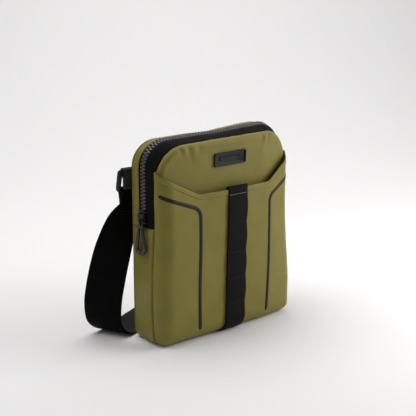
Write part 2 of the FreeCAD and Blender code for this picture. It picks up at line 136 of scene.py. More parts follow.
# ---------------------------------------------------------------- cloth pattern
# The bag is cut from coated twill and sewn on a rounded box. Panels are flat patterns wrapped on to it,
# so every panel shares one outline and one slouch, and the seams meet.
high_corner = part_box("back_panel")[1]
half = high_corner[0]
tall = high_corner[2]
back_y = high_corner[1]
pocket_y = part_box("pocket_panel_lower")[0][1]
panel_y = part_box("front_panel_upper")[0][1]
zip_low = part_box("upper_gusset")[0][2]
round_top = 26 * mm
round_base = 10 * mm
front_seam_y = -10.2 * mm
back_seam_y = 24.0 * mm
tuck = 4.5 * mm
SEAM_TURN = 1.6 * mm
SEAM_STEP = 1.1 * mm
EMPTY_IN = 6.5 * mm
EMPTY_BACK = 5.0 * mm
SWELL_Z = 48 * mm
SAG_LEFT = 2.5 * mm


def ramp(t, a, b):
    t = min(1.0, max(0.0, (t - a) / (b - a)))
    return t * t * (3 - 2 * t)


def hump(t, middle, reach):
    return math.exp(-((t - middle) / reach) ** 2)


def slouch(p):
    """The stood-up bag swells below its middle, is emptier at its right, and sags at its top left."""
    x, y, z = p
    front = 1 - ramp(y, -12 * mm, 22 * mm)
    empty = ramp(x, 40 * mm, 90 * mm) * front * (0.55 + 0.45 * ramp(z, 5 * mm, 110 * mm))
    x -= EMPTY_IN * empty
    y += EMPTY_BACK * empty * ramp(-y, 8 * mm, 20 * mm)
    x *= 1 + (0.004 + 0.034 * front) * hump(z, SWELL_Z, SWELL_Z)
    sag = SAG_LEFT - 0.040 * x
    sag += (1.4 * mm * hump(x, 0, 13 * mm) - 1.7 * mm * hump(x, 54 * mm, 24 * mm)) * (1 - front)
    z -= sag * max(0.0, z / tall) ** 3
    return Vector((x, y, z))


def edge(x, z, spare, shoulder=round_top):
    """Distance in from the outline grown by spare, and the direction in."""
    upper = z > tall / 2
    r = (shoulder if upper else round_base) + spare
    dx = abs(x) - (half + spare - r)
    dz = z - (tall + spare - r) if upper else (r - spare) - z
    sx = -1 if x > 0 else 1
    sz = -1 if upper else 1
    if dx > 0 and dz > 0:
        far = math.hypot(dx, dz)
        return r - far, sx * dx / far, sz * dz / far
    if dx > dz:
        return r - dx, sx, 0.0
    return r - dz, 0.0, sz


def half_width(z, spare, shoulder=round_top):
    """Half the width, at height z, of the outline grown by spare. shoulder is the top corners' radius."""
    upper = z > tall / 2
    r = (shoulder if upper else round_base) + spare
    dz = max(0.0, z - (tall + spare - r)) if upper else max(0.0, r - spare - z)
    return half + spare - r + math.sqrt(max(0.0, r * r - dz * dz))


def rounded_rim(s, seam_y, front_y, wall, radius):
    """Seam turned in, a short wall, a rolled edge, then flat: inset and y at distance s from the cut."""
    toward = -1 if front_y < seam_y else 1
    if s < SEAM_TURN:
        t = s / SEAM_TURN
        return tuck * (1 - t) ** 1.6, seam_y + toward * SEAM_STEP * t * t
    y = seam_y + toward * SEAM_STEP
    if s < SEAM_TURN + wall:
        return 0.0, y + toward * (s - SEAM_TURN)
    y += toward * wall
    a = (s - SEAM_TURN - wall) / radius
    if a < math.pi / 2:
        return radius * (1 - math.cos(a)), y + toward * radius * math.sin(a)
    return radius + (s - SEAM_TURN - wall - radius * math.pi / 2), front_y


def spare_of(wall, radius):
    """Cloth that a rim takes up beyond the outline: its turned seam, its wall and its roll."""
    return SEAM_TURN + wall + radius * (math.pi / 2 - 1)


def spread(t, ends, share):
    """0 to 1, with closer steps in a share at each end of the range."""
    if t > 0.5:
        return 1 - spread(1 - t, ends, share)
    if t < share:
        return ends * (1 - math.cos(math.pi / 2 * t / share))
    return ends + (0.5 - ends) * (t - share) / (0.5 - share)


def puckers(along, s, reach, height, pitch):
    """Fine gathers that run in from a seam and die out over reach."""
    wave = noise.noise(Vector((along / pitch, 3.7, 1.3)))
    wave += 0.5 * noise.noise(Vector((along / pitch * 2.3, 9.1, s / reach)))
    return height * wave * math.exp(-s / reach) * ramp(s, 0.0, 2.5 * mm)


def new_piece(name, bm, material, flat=False):
    mesh = bpy.data.meshes.new(name)
    bm.to_mesh(mesh)
    bm.free()
    for face in mesh.polygons:
        face.use_smooth = not flat
    piece = bpy.data.objects.new(name, mesh)
    bpy.context.collection.objects.link(piece)
    mesh.materials.append(material)
    return piece


def sheet_piece(name, columns, rows, place, thick, material, offset=-1.0):
    """A woven sheet. place(u, w) gives a point and its flat position, which becomes the UV map in metres."""
    bm = bmesh.new()
    bmesh.ops.create_grid(bm, x_segments=columns, y_segments=rows, size=0.5)
    uv = bm.loops.layers.uv.new("cut")
    flat = {}
    for v in bm.verts:
        point, cut = place(v.co.x + 0.5, v.co.y + 0.5)
        flat[v] = cut
        v.co = point
    for face in bm.faces:
        for loop in face.loops:
            loop[uv].uv = flat[loop.vert]
    piece = new_piece(name, bm, material)
    if thick:
        wall = piece.modifiers.new("cloth", "SOLIDIFY")
        wall.thickness = thick
        wall.offset = offset
        wall.use_even_offset = False
    return piece


def group_nodes(name, inputs, outputs):
    """An empty shader node group with named sockets."""
    group = bpy.data.node_groups.new(name, "ShaderNodeTree")
    for label, kind, value in inputs:
        item = group.interface.new_socket(label, in_out="INPUT", socket_type=kind)
        if value is not None:
            item.default_value = value
    for label, kind in outputs:
        group.interface.new_socket(label, in_out="OUTPUT", socket_type=kind)
    return group, group.nodes.new("NodeGroupInput"), group.nodes.new("NodeGroupOutput")


def math_node(tree, operation, a, b=None):
    node = tree.nodes.new("ShaderNodeMath")
    node.operation = operation
    for i, value in enumerate((a, b)):
        if value is None:
            continue
        if isinstance(value, (int, float)):
            node.inputs[i].default_value = value
        else:
            tree.links.new(value, node.inputs[i])
    return node.outputs[0]


def make_weave():
    """Crossed yarns on the cut's UV map, in metres. Slant turns plain weave to twill."""
    group, given, out = group_nodes(
        "weave",
        [("Pitch", "NodeSocketFloat", 0.4 * mm), ("Slant", "NodeSocketFloat", 1.0)],
        [("Height", "NodeSocketFloat"), ("Shade", "NodeSocketFloat")],
    )
    n = group
    cut = n.nodes.new("ShaderNodeUVMap")
    cut.uv_map = "cut"
    split = n.nodes.new("ShaderNodeSeparateXYZ")
    n.links.new(cut.outputs[0], split.inputs[0])
    turn = 2 * math.pi
    u = math_node(n, "MULTIPLY", math_node(n, "DIVIDE", split.outputs[0], given.outputs["Pitch"]), turn)
    w = math_node(n, "MULTIPLY", math_node(n, "DIVIDE", split.outputs[1], given.outputs["Pitch"]), turn)
    warp = math_node(n, "SINE", u)
    weft = math_node(n, "SINE", w)
    slanted = math_node(n, "SINE", math_node(n, "ADD", u, w))
    plain = math_node(n, "MULTIPLY", warp, weft)
    twill = math_node(n, "MULTIPLY", slanted, given.outputs["Slant"])
    height = math_node(n, "ADD", plain, twill)
    n.links.new(height, out.inputs["Height"])
    cloud = n.nodes.new("ShaderNodeTexNoise")
    cloud.inputs["Scale"].default_value = 45.0
    cloud.inputs["Detail"].default_value = 4.0
    n.links.new(cut.outputs[0], cloud.inputs["Vector"])
    n.links.new(cloud.outputs[0], out.inputs["Shade"])
    return group


def make_speckle():
    """Fine grain and soft mottling on Object coordinates, for moulded and coated parts."""
    group, given, out = group_nodes(
        "speckle",
        [("Scale", "NodeSocketFloat", 900.0)],
        [("Height", "NodeSocketFloat"), ("Shade", "NodeSocketFloat")],
    )
    place = group.nodes.new("ShaderNodeTexCoord")
    fine = group.nodes.new("ShaderNodeTexNoise")
    fine.inputs["Detail"].default_value = 3.0
    group.links.new(place.outputs["Object"], fine.inputs["Vector"])
    group.links.new(given.outputs["Scale"], fine.inputs["Scale"])
    broad = group.nodes.new("ShaderNodeTexNoise")
    broad.inputs["Scale"].default_value = 60.0
    group.links.new(place.outputs["Object"], broad.inputs["Vector"])
    group.links.new(fine.outputs[0], out.inputs["Height"])
    group.links.new(broad.outputs[0], out.inputs["Shade"])
    return group


weave = make_weave()
speckle = make_speckle()
SHADE_LOW = 0.3
SHADE_HIGH = 0.7


def surface(name, pattern, settings, dark, light, rough, bump, distance, **shader_values):
    """A material whose pattern gives its relief, its colour from dark to light, and its roughness."""
    material = bpy.data.materials.new(name)
    material.use_nodes = True
    tree = material.node_tree
    shader = tree.nodes["Principled BSDF"]
    source = tree.nodes.new("ShaderNodeGroup")
    source.node_tree = pattern
    for label, value in settings.items():
        source.inputs[label].default_value = value
    colour = tree.nodes.new("ShaderNodeMapRange")
    colour.data_type = "FLOAT_VECTOR"
    colour.inputs[7].default_value = (SHADE_LOW,) * 3
    colour.inputs[8].default_value = (SHADE_HIGH,) * 3
    colour.inputs[9].default_value = dark
    colour.inputs[10].default_value = light
    tree.links.new(source.outputs["Shade"], colour.inputs[6])
    tree.links.new(colour.outputs[1], shader.inputs["Base Color"])
    gloss = tree.nodes.new("ShaderNodeMapRange")
    gloss.inputs[1].default_value = SHADE_LOW
    gloss.inputs[2].default_value = SHADE_HIGH
    gloss.inputs[3].default_value = rough[0]
    gloss.inputs[4].default_value = rough[1]
    tree.links.new(source.outputs["Shade"], gloss.inputs[0])
    tree.links.new(gloss.outputs[0], shader.inputs["Roughness"])
    relief = tree.nodes.new("ShaderNodeBump")
    relief.inputs["Strength"].default_value = bump
    relief.inputs["Distance"].default_value = distance
    tree.links.new(source.outputs["Height"], relief.inputs["Height"])
    tree.links.new(relief.outputs[0], shader.inputs["Normal"])
    for label, value in shader_values.items():
        shader.inputs[label.replace("_", " ")].default_value = value
    return material


olive_twill = surface("olive_twill", weave, {"Pitch": 0.55 * mm, "Slant": 0.6}, (0.205, 0.173, 0.031),
                      (0.238, 0.202, 0.038), (0.46, 0.56), 0.25, 0.05 * mm, Specular_IOR_Level=0.25)
lining_cloth = surface("lining_cloth", weave, {"Pitch": 0.5 * mm, "Slant": 0.0}, (0.030, 0.031, 0.033),
                       (0.042, 0.043, 0.046), (0.6, 0.7), 0.3, 0.05 * mm, Sheen_Weight=0.1)


# ---------------------------------------------------------------- front pocket
# Twill panel bulged forward of the bag, sewn in at the sides and base and open along its top.
# Its mouth is hemmed: level in the middle, rising to the side seams.
POCKET_WALL = 0.4 * mm
POCKET_ROLL = 14.3 * mm
pocket_spare = spare_of(POCKET_WALL, POCKET_ROLL)
MOUTH_X = 45.5 * mm
MOUTH_Z = 147.5 * mm
MOUTH_SIDE_Z = 175.0 * mm
pocket_side = half + pocket_spare


def mouth_line(x):
    """Height of the pocket's mouth over the flat pattern, with softened corners."""
    rise = (MOUTH_SIDE_Z - MOUTH_Z) / (pocket_side - MOUTH_X)
    past = abs(x) - MOUTH_X
    soft = 3 * mm
    if past < -soft:
        return MOUTH_Z
    if past < soft:
        return MOUTH_Z + rise * (past + soft) ** 2 / (4 * soft)
    return MOUTH_Z + rise * past


def pocket_point(x, z, lift=0.0):
    """A point of the flat pocket pattern on the bag, lift proud of the cloth."""
    s, nx, nz = edge(x, z, pocket_spare)
    inset, y = rounded_rim(s, front_seam_y, pocket_y, POCKET_WALL, POCKET_ROLL)
    move = inset + pocket_spare - s
    px, pz = x + nx * move, z + nz * move
    along = z if abs(nx) > abs(nz) else x
    side = 1 if x > 0 else 2
    facing = ramp(s, 4 * mm, pocket_spare + POCKET_ROLL)
    ripple = puckers(along + side, s, 14 * mm, 0.9 * mm, 13 * mm)
    ripple += 0.35 * mm * noise.noise(Vector((x * 28, z * 22, 0.5))) * facing
    top_gap = mouth_line(x) - z
    slack = 1.8 * mm * math.exp(-max(0.0, top_gap) / (16 * mm))
    slack *= ramp(abs(x), 14 * mm, 40 * mm) * (1 - ramp(abs(x), 70 * mm, 92 * mm))
    crown = 1.0 * mm - 2.6 * mm * math.cos(min(1.0, abs(x) / pocket_side) * math.pi / 2)
    crown *= facing * math.sin(math.pi * min(1.0, max(0.0, 0.12 + 0.8 * z / MOUTH_Z)))
    y += facing * slack + crown - lift * facing + ripple * facing
    px -= nx * (lift - ripple) * (1 - facing)
    pz -= nz * (lift - ripple) * (1 - facing)
    return slouch((px, y, max(pz, 0.2 * mm)))


def pocket_place(u, w):
    low = -pocket_spare
    t = spread(w, 0.09, 0.2) if w < 0.5 else 0.5 + (w - 0.5)
    reach = half_width(low + t * (MOUTH_SIDE_Z - low), pocket_spare)
    x = (2 * spread(u, 0.11, 0.2) - 1) * reach
    z = low + t * (mouth_line(x) - low)
    return pocket_point(x, z), (x, z)


pocket = sheet_piece("pocket_panel", 150, 130, pocket_place, 0.9 * mm, olive_twill)
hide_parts("pocket_panel_lower", "pocket_panel_upper")
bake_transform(pocket)


HEM_DEPTH = 5.2 * mm


def hem_place(u, w):
    """The turned hem: a second layer laid over the mouth's edge."""
    x = (2 * u - 1) * (pocket_side - 2.5 * mm)
    depth = HEM_DEPTH * w
    round_over = math.sin(math.pi * w) ** 0.5
    point = pocket_point(x, mouth_line(x) + 0.5 * mm - depth, 0.15 * mm + 0.4 * mm * round_over)
    return point, (x, depth)


hem = sheet_piece("pocket_hem", 150, 8, lambda u, w: hem_place(u, 1 - w), 1.0 * mm, olive_twill)
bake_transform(hem)


# ---------------------------------------------------------------- front panel
# Twill panel behind the pocket, sewn into the same seam and to the zip's front tape. Its top shows over the
# pocket's mouth, drops a little to the tape, and is gathered at both corners.
PANEL_WALL = 1.0 * mm
PANEL_ROLL = 4.7 * mm
PANEL_SHOULDER = 35 * mm
PANEL_INSET = 1.7 * mm
PANEL_DROP = 1.6 * mm
PANEL_CROWN = 1.6 * mm
panel_spare = spare_of(PANEL_WALL, PANEL_ROLL)

# The small folds caught in the top seam by the zip's bends: side, distance out, lean, length and depth.
GATHERS = [
    (-1, 67.0, 0.55, 13.0, 1.0), (-1, 60.5, 0.35, 15.0, -0.9), (-1, 54.0, 0.20, 18.0, 1.1),
    (-1, 46.5, 0.10, 14.0, -0.8), (-1, 40.0, 0.05, 11.0, 0.7), (1, 43.0, 0.10, 12.0, 0.7),
    (1, 50.0, 0.25, 18.0, -1.0), (1, 57.0, 0.40, 15.0, 1.0), (1, 64.0, 0.55, 12.0, -0.8),
]


def panel_point(x, z, lift=0.0, behind=0.0):
    s, nx, nz = edge(x, z, panel_spare, PANEL_SHOULDER)
    inset, y = rounded_rim(s, front_seam_y + behind, panel_y + behind, PANEL_WALL, PANEL_ROLL)
    drop = PANEL_DROP * max(0.0, -nz) ** 2 * (1 - ramp(s, 10 * mm, 33 * mm))
    inset += PANEL_INSET + drop + behind * 1.2
    move = inset + panel_spare - s
    px, pz = x + nx * move, z + nz * move
    facing = ramp(s, 2 * mm, panel_spare + PANEL_ROLL)
    gather = 0.0
    if z > 150 * mm and s < 40 * mm:
        for side, start, lean, reach, depth in GATHERS:
            centre = side * (start * mm - lean * s)
            gather += depth * mm * hump(x, centre, 1.7 * mm + 0.14 * s) * hump(s, 4 * mm, reach * mm)
    ripple = puckers(x * 1.1 + z, s, 9 * mm, 0.8 * mm, 11 * mm) + gather * facing
    crown = -PANEL_CROWN * facing * math.cos(min(1.0, abs(x) / half) * math.pi / 2)
    y += crown + ripple * facing - lift * facing
    px -= nx * (lift - ripple) * (1 - facing)
    pz -= nz * (lift - ripple) * (1 - facing)
    return slouch((px, y, pz))


def panel_place(u, w, behind=0.0):
    low = -panel_spare
    z = low + spread(w, 0.17, 0.28) * (tall + 2 * panel_spare)
    x = (2 * spread(u, 0.09, 0.2) - 1) * half_width(z, panel_spare, PANEL_SHOULDER)
    return panel_point(x, z, behind=behind), (x, z)


panel = sheet_piece("front_panel", 140, 150, panel_place, 0.9 * mm, olive_twill)
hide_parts("front_panel_lower", "front_panel_upper")
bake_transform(panel)

LINING_GAP = 1.9 * mm
front_lining = sheet_piece("front_lining", 70, 80, lambda u, w: panel_place(u, w, behind=LINING_GAP),
                           0.5 * mm, lining_cloth)
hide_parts("front_lining_lower", "front_lining_upper")
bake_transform(front_lining)


# ---------------------------------------------------------------- back panel and gussets
# A flat twill back and a strip of the same cloth round the sides and base. Above the zip's ends a narrower
# strip goes over the top between the zip and the back panel.
BACK_ROLL = 1.9 * mm
back_spare = spare_of(0.0, BACK_ROLL)


def back_place(u, w):
    low = -back_spare
    z = low + spread(w, 0.12, 0.2) * (tall + 2 * back_spare)
    x = -(2 * spread(u, 0.06, 0.15) - 1) * half_width(z, back_spare)
    s, nx, nz = edge(x, z, back_spare)
    inset, y = rounded_rim(s, back_seam_y - SEAM_STEP, back_y, 0.0, BACK_ROLL)
    move = inset + back_spare - s
    facing = ramp(s, 1 * mm, 6 * mm)
    ripple = puckers(x + 2 * z, s, 10 * mm, 0.5 * mm, 12 * mm)
    y += facing * (ripple - 0.5 * mm + 0.3 * mm * noise.noise(Vector((x * 20, z * 20, 4.0))))
    return slouch((x + nx * move, y, max(z + nz * move, 0.0))), (x, z)


back = sheet_piece("back_cloth", 110, 130, back_place, 0.9 * mm, olive_twill)
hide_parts("back_panel")
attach(back, "bag")

flat_base = half - round_base
base_turn = round_base * math.pi / 2
side_run = tall - round_top - round_base
top_turn = round_top * math.pi / 2
flat_top = half - round_top


def rim(s):
    """Point and outward direction on the outline at distance s from the middle of the base, towards +X."""
    side = 1 if s >= 0 else -1
    s = abs(s)
    if s < flat_base:
        return side * s, 0.0, 0.0, -1.0
    s -= flat_base
    if s < base_turn:
        a = s / round_base
        return (side * (flat_base + round_base * math.sin(a)), round_base * (1 - math.cos(a)),
                side * math.sin(a), -math.cos(a))
    s -= base_turn
    if s < side_run:
        return side * half, round_base + s, side * 1.0, 0.0
    s -= side_run
    if s < top_turn:
        a = s / round_top
        return (side * (flat_top + round_top * math.cos(a)), tall - round_top + round_top * math.sin(a),
                side * math.cos(a), math.sin(a))
    s -= top_turn
    return side * (flat_top - s), tall, 0.0, 1.0


rim_half = flat_base + base_turn + side_run + top_turn + flat_top
zip_end = flat_base + base_turn + zip_low - round_base


def on_rim(s, y, inset):
    x, z, nx, nz = rim(s)
    return slouch((x - nx * inset, y, z - nz * inset))


CROSS_SEAM = 2.6 * mm


def gusset_place(u, w):
    s = (2 * u - 1) * (zip_end + 0.5 * mm)
    y0 = front_seam_y + 0.6 * mm
    y = y0 + spread(w, 0.12, 0.25) * (back_seam_y - 0.4 * mm - y0)
    near = min(y - front_seam_y, back_seam_y - y)
    open_front = ramp(y - front_seam_y, 1.7 * mm, 2.6 * mm)
    open_back = ramp(back_seam_y - y, 0.4 * mm, 2.2 * mm)
    turn_in = tuck * (1 - min(open_front, open_back))
    x, z, nx, nz = rim(s)
    standing = abs(nx)
    ripple = puckers(s + (5 if y > 7 * mm else 0), near, 7 * mm, 0.8 * mm, 11 * mm)
    hollow = 0.9 * mm * standing * math.sin(math.pi * w) * ramp(z, 10 * mm, 60 * mm)
    inset = turn_in + standing * (ripple + hollow) + max(0.0, ripple) * (1 - standing)
    inset += 0.5 * mm * standing * noise.noise(Vector((y * 40, z * 18, 2.0)))
    inset += CROSS_SEAM * ramp(z, zip_low - 2.0 * mm, zip_low - 0.5 * mm)
    return on_rim(s, y, inset), (s, y)


gusset = sheet_piece("gusset_cloth", 260, 36, gusset_place, 0.9 * mm, olive_twill)
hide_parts("lower_gusset")
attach(gusset, "bag")

top_end = rim_half - zip_end
tape_edge_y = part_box("zip_tape_back")[1][1]


def top_rim(u):
    """Distance along the outline for u from the left zip end over the top to the right one."""
    t = (2 * u - 1) * top_end
    return math.copysign(rim_half - abs(t), -1 if t < 0 else 1)


def upper_place(u, w):
    s = top_rim(u)
    y0 = tape_edge_y - 1.2 * mm
    y = y0 + w * (back_seam_y - 0.4 * mm - y0)
    turn_in = tuck * (1 - ramp(back_seam_y - y, 0.4 * mm, 2.6 * mm))
    fold = 0.5 * mm * (1 - ramp(y - y0, 0.0, 1.0 * mm))
    ripple = puckers(s, back_seam_y - y, 6 * mm, 0.7 * mm, 9 * mm)
    return on_rim(s, y, turn_in + fold - 0.5 * mm + ripple), ((2 * u - 1) * top_end, y)


upper = sheet_piece("upper_gusset_cloth", 260, 14, upper_place, 0.9 * mm, olive_twill)
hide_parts("upper_gusset")
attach(upper, "bag")


# ---------------------------------------------------------------- inside
# Dark woven lining cut a little smaller than the shell, a foam sheet between the back and its lining, and a
# flat inner pocket sewn to the back lining.
def inside_place(u, w, inset, y, low, high, wide=1.0, wave=0.4 * mm):
    """A flat sheet inside the bag, cut to the outline less inset, between two heights."""
    z = low + w * (high - low)
    x = (2 * u - 1) * min(half_width(z, -inset), half * wide)
    drift = wave * noise.noise(Vector((x * 25, z * 25, y * 100)))
    return slouch((x, y + drift, z)), (x, z)


foam_low, foam_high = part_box("back_foam")
lining_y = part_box("back_lining")[0][1]
INSIDE = 3.2 * mm
back_lining = sheet_piece("back_lining_cloth", 50, 60,
                          lambda u, w: inside_place(u, w, INSIDE, lining_y, INSIDE, tall - INSIDE),
                          0.5 * mm, lining_cloth)
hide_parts("back_lining")
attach(back_lining, "bag")

foam_grey = surface("foam_grey", speckle, {"Scale": 2200.0}, (0.055, 0.055, 0.057), (0.08, 0.08, 0.083),
                    (0.85, 0.95), 0.5, 0.2 * mm)
foam = sheet_piece("foam_sheet", 40, 50,
                   lambda u, w: inside_place(u, w, INSIDE, foam_low[1] + 0.5 * mm, INSIDE, tall - INSIDE),
                   foam_high[1] - foam_low[1] - 1.2 * mm, foam_grey, 1.0)
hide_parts("back_foam")
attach(foam, "bag")

slip_low, slip_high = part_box("inner_pocket")
SLIP_GAPE = 1.4 * mm


def slip_place(u, w):
    """The inner pocket leans forward towards its mouth."""
    y = slip_low[1] - 0.3 * mm - SLIP_GAPE * w * w
    return inside_place(u, w, INSIDE, y, slip_low[2], slip_high[2], slip_high[0] / half, 0.9 * mm)


slip = sheet_piece("inner_pocket_cloth", 60, 50, slip_place, 0.5 * mm, lining_cloth)
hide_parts("inner_pocket")
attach(slip, "bag")


def gusset_lining_place(u, w):
    s = (2 * u - 1) * zip_end
    y = front_seam_y + 3 * mm + w * (slip_low[1] - front_seam_y - 4 * mm)
    sag = 0.8 * mm * noise.noise(Vector((s * 30, y * 30, 8.0)))
    return on_rim(s, y, 2.6 * mm + sag), (s, y)


gusset_inner = sheet_piece("gusset_lining_cloth", 160, 10, gusset_lining_place, 0.5 * mm, lining_cloth)
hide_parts("gusset_lining")
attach(gusset_inner, "bag")


# ---------------------------------------------------------------- bonded stripes
# A thin dark film stripe on each side of the pocket: up from near the base, then out to the side seam.
# It is bonded flat, with a soft moulded edge.
film = surface("stripe_film", speckle, {"Scale": 1400.0}, (0.015, 0.012, 0.009), (0.021, 0.017, 0.013),
               (0.42, 0.5), 0.15, 0.03 * mm, Specular_IOR_Level=0.22)


def rounded_route(corners, radius, step):
    """Even stations along a flat route whose inner corners are turned with arcs: (x, z, heading)."""
    runs = []
    here = Vector(corners[0])
    for i in range(1, len(corners)):
        corner = Vector(corners[i])
        if i == len(corners) - 1:
            runs.append((here, corner))
            break
        back_way = (here - corner).normalized()
        on_way = (Vector(corners[i + 1]) - corner).normalized()
        opening = back_way.angle(on_way)
        cut = radius / math.tan(opening / 2)
        runs.append((here, corner + back_way * cut))
        centre = corner + (back_way + on_way).normalized() * radius / math.sin(opening / 2)
        start = corner + back_way * cut - centre
        sweep = math.copysign(math.pi - opening, start.cross(corner - centre))
        turns = max(3, int(abs(sweep) * radius / step))
        for k in range(turns):
            a = [centre + Matrix.Rotation(sweep * t / turns, 2) @ start for t in (k, k + 1)]
            runs.append(tuple(a))
        here = corner + on_way * cut
    points = [runs[0][0]]
    for a, b in runs:
        count = max(1, round((b - a).length / step))
        points += [a.lerp(b, (k + 1) / count) for k in range(count)]
    stations = []
    for i, p in enumerate(points):
        ahead = points[min(i + 1, len(points) - 1)] - points[max(i - 1, 0)]
        stations.append((p.x, p.y, ahead.normalized()))
    return stations


STRIPE_FOOT_Z = 11 * mm
STRIPE_TURN_Z = 133.2 * mm
STRIPE_X = 44.5 * mm
STRIPE_END = {-1: (91.5 * mm, 152.0 * mm), 1: (93 * mm, 152.5 * mm)}
STRIPE_WIDTH = 3.8 * mm
STRIPE_TURN = 11 * mm
STRIPE_LEAN = {-1: 0.3 * mm, 1: 2.6 * mm}
STRIPE_THICK = 0.5 * mm

for side, name in ((-1, "left"), (1, "right")):
    foot = (side * STRIPE_X - STRIPE_LEAN[side], STRIPE_FOOT_Z)
    corner = (side * STRIPE_X + STRIPE_LEAN[side], STRIPE_TURN_Z)
    end = (side * STRIPE_END[side][0], STRIPE_END[side][1])
    route = rounded_route([foot, corner, end], STRIPE_TURN, 1.4 * mm)

    def stripe_place(u, w):
        x, z, heading = route[round(w * (len(route) - 1))]
        across = (u - 0.5) * STRIPE_WIDTH
        end_share = min(w, 1 - w) * (len(route) - 1) / 2
        across *= min(1.0, 0.45 + 0.55 * end_share)
        lift = 0.15 * mm + STRIPE_THICK * min(1.0, end_share) * (1 - abs(2 * u - 1) ** 4)
        x += heading.y * across
        z -= heading.x * across
        return pocket_point(x, z, lift), (x, z)

    stripe = sheet_piece(f"stripe_{name}_film", 6, len(route) - 1, stripe_place, STRIPE_THICK, film)
    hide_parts(f"stripe_{name}", f"stripe_{name}_top")
    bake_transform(stripe)


# ---------------------------------------------------------------- stitching
# Every row of stitching is thread laid on the cloth: short raised stitches that dip at each needle hole.
# The hem and the tabs are sewn in olive thread, the webbing's bartacks and the strap in black.
STITCH_PROFILE = ((0.0, -0.5, 0.5), (0.18, 0.25, 0.95), (0.82, 0.25, 0.95), (1.0, -0.5, 0.5))


def stitch_rows(name, rows, length, gap, thread, material):
    """One mesh of thread stitches. Each row is a list of (point, outward) along the seam."""
    bm = bmesh.new()
    for row in rows:
        travelled = [0.0]
        for (a, _), (b, _) in zip(row, row[1:]):
            travelled.append(travelled[-1] + (b - a).length)

        def along(s):
            for i in range(1, len(row)):
                if travelled[i] >= s:
                    break
            t = (s - travelled[i - 1]) / max(1e-9, travelled[i] - travelled[i - 1])
            return row[i - 1][0].lerp(row[i][0], t), row[i - 1][1].lerp(row[i][1], t).normalized()

        count = int((travelled[-1] + gap) / (length + gap))
        for k in range(count):
            start = k * (length + gap)
            rings = []
            for t, height, size in STITCH_PROFILE:
                centre, out = along(start + t * length)
                before, _ = along(start)
                after, _ = along(start + length)
                ahead = (after - before).normalized()
                side_way = ahead.cross(out)
                ring = []
                for q in range(6):
                    a = q * math.pi / 3
                    offset = (side_way * math.cos(a) + out * math.sin(a)) * thread * size
                    ring.append(bm.verts.new(centre + out * height * thread + offset))
                rings.append(ring)
            for a, b in zip(rings, rings[1:]):
                for q in range(6):
                    bm.faces.new((a[q], a[(q + 1) % 6], b[(q + 1) % 6], b[q]))
            bm.faces.new(tuple(reversed(rings[0])))
            bm.faces.new(rings[-1])
    bmesh.ops.recalc_face_normals(bm, faces=bm.faces)
    return new_piece(name, bm, material)


olive_thread = surface("olive_thread", speckle, {"Scale": 2600.0}, (0.25, 0.215, 0.08), (0.33, 0.29, 0.12),
                       (0.5, 0.6), 0.3, 0.05 * mm, Sheen_Weight=0.3)
black_thread = surface("black_thread", speckle, {"Scale": 2600.0}, (0.009, 0.008, 0.008),
                       (0.015, 0.014, 0.014), (0.5, 0.65), 0.3, 0.05 * mm, Specular_IOR_Level=0.2)


def on_pocket(x, z, lift):
    here = pocket_point(x, z, lift)
    out = (pocket_point(x, z, lift + 1 * mm) - here).normalized()
    return here, out


HEM_SEWN_AT = 3.6 * mm
hem_row = []
for k in range(241):
    x = (2 * k / 240 - 1) * (pocket_side - 5 * mm)
    hem_row.append(on_pocket(x, mouth_line(x) - HEM_SEWN_AT, 0.5 * mm))
hem_stitches = stitch_rows("hem_stitches", [hem_row], 2.3 * mm, 0.9 * mm, 0.27 * mm, olive_thread)
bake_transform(hem_stitches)


# ---------------------------------------------------------------- centre webbing
# Ribbed 25 mm webbing sewn down the middle of the pocket. Bartacks hold it, and it stands off between them
# as loops. Its top is folded over the pocket's hem.
def make_ribs():
    """Webbing on the cut's UV map in metres: weft ridges across it and warp columns along it."""
    group, given, out = group_nodes(
        "ribs",
        [("Pitch", "NodeSocketFloat", 1.2 * mm), ("Columns", "NodeSocketFloat", 1.6 * mm)],
        [("Height", "NodeSocketFloat"), ("Shade", "NodeSocketFloat")],
    )
    n = group
    cut = n.nodes.new("ShaderNodeUVMap")
    cut.uv_map = "cut"
    split = n.nodes.new("ShaderNodeSeparateXYZ")
    n.links.new(cut.outputs[0], split.inputs[0])
    turn = 2 * math.pi
    u = math_node(n, "MULTIPLY", math_node(n, "DIVIDE", split.outputs[0], given.outputs["Columns"]), turn)
    w = math_node(n, "MULTIPLY", math_node(n, "DIVIDE", split.outputs[1], given.outputs["Pitch"]), turn)
    bend = math_node(n, "MULTIPLY", math_node(n, "SINE", u), 1.2)
    ridge = math_node(n, "SINE", math_node(n, "ADD", w, bend))
    column = math_node(n, "MULTIPLY", math_node(n, "COSINE", u), 0.4)
    n.links.new(math_node(n, "ADD", ridge, column), out.inputs["Height"])
    cloud = n.nodes.new("ShaderNodeTexNoise")
    cloud.inputs["Scale"].default_value = 70.0
    cloud.inputs["Detail"].default_value = 5.0
    n.links.new(cut.outputs[0], cloud.inputs["Vector"])
    n.links.new(cloud.outputs[0], out.inputs["Shade"])
    return group


ribs = make_ribs()
black_webbing = surface("black_webbing", ribs, {}, (0.0048, 0.0042, 0.0040), (0.0072, 0.0063, 0.0060),
                        (0.55, 0.68), 0.5, 0.25 * mm, Specular_IOR_Level=0.08)
bartack_z = [31 * mm, 57 * mm, 84 * mm, 113 * mm]
WEB_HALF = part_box("centre_webbing")[1][0]
web_holds = [-6 * mm] + bartack_z + [141.5 * mm]
WEB_THICK = 1.4 * mm
WEB_LIFT = 0.95 * mm
WEB_LOOP = 0.9 * mm
web_foot = -pocket_spare + 4 * mm
web_top = MOUTH_Z + 0.9 * mm
web_fold = 1.75 * mm
web_tail = 10 * mm
web_run = web_top - web_foot
web_over = math.pi * web_fold


